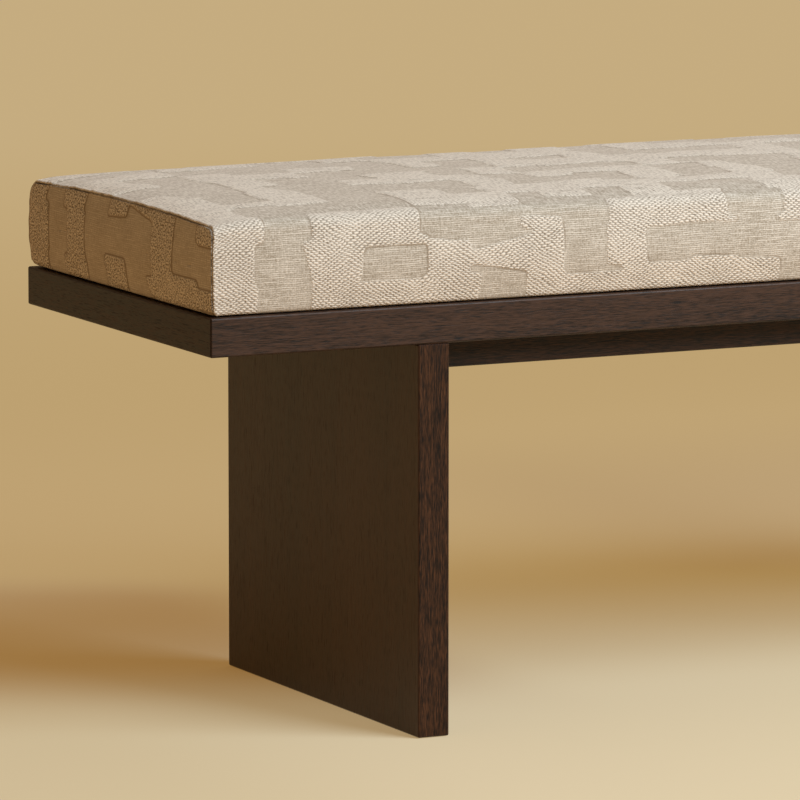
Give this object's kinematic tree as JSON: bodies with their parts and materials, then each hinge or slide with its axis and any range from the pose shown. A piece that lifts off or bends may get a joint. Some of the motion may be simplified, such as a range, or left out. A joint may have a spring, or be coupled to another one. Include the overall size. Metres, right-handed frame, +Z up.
{
  "type": "wooden bench",
  "caption": "Long low bench: dark wooden deck with overhanging ends on panel legs, under a tight upholstered seat pad.",
  "frame": {"origin": "on the floor, under the middle of the bench", "axes": "+X along the bench to the sitter's left, +Y to the back, +Z up; the front faces -Y"},
  "size_m": [1.372, 0.406, 0.476],
  "materials": {
    "stained_wood": "satin",
    "stained_veneer": "satin",
    "plain_plywood": "matte",
    "beech": "matte",
    "dark_steel": "satin",
    "zinc_steel": "satin",
    "insert_brass": "satin",
    "glide_nylon": "matte",
    "dust_cloth": "matte",
    "foam": "matte",
    "batting": "matte",
    "cover_fabric": "matte"
  },
  "bodies": {
    "root": {"deck_front_lipping": "stained_wood", "deck_back_lipping": "stained_wood", "deck_left_lipping": "stained_wood", "deck_right_lipping": "stained_wood", "left_leg_front_lipping": "stained_wood", "left_leg_back_lipping": "stained_wood", "right_leg_front_lipping": "stained_wood", "right_leg_back_lipping": "stained_wood", "front_rail": "stained_wood", "back_rail": "stained_wood", "left_cross_rail": "stained_wood", "right_cross_rail": "stained_wood", "centre_cross_rail": "stained_wood", "deck_lower_ply": "stained_veneer", "left_leg_core": "stained_veneer", "right_leg_core": "stained_veneer", "deck_upper_ply": "plain_plywood", "seat_board": "plain_plywood", "deck_tongues": "beech", "leg_dowels": "beech", "rail_end_dowels": "beech", "centre_rail_dowels": "beech", "leg_bolts": "dark_steel", "pad_bolts": "dark_steel", "rail_screws": "zinc_steel", "leg_washers": "zinc_steel", "pad_washers": "zinc_steel", "tee_nuts": "zinc_steel", "leg_inserts": "insert_brass", "floor_glides": "glide_nylon", "dust_cover": "dust_cloth", "foam_core": "foam", "batting_wrap": "batting", "cover_band": "cover_fabric", "cover_left_end": "cover_fabric", "cover_right_end": "cover_fabric"}
  },
  "joints": []
}
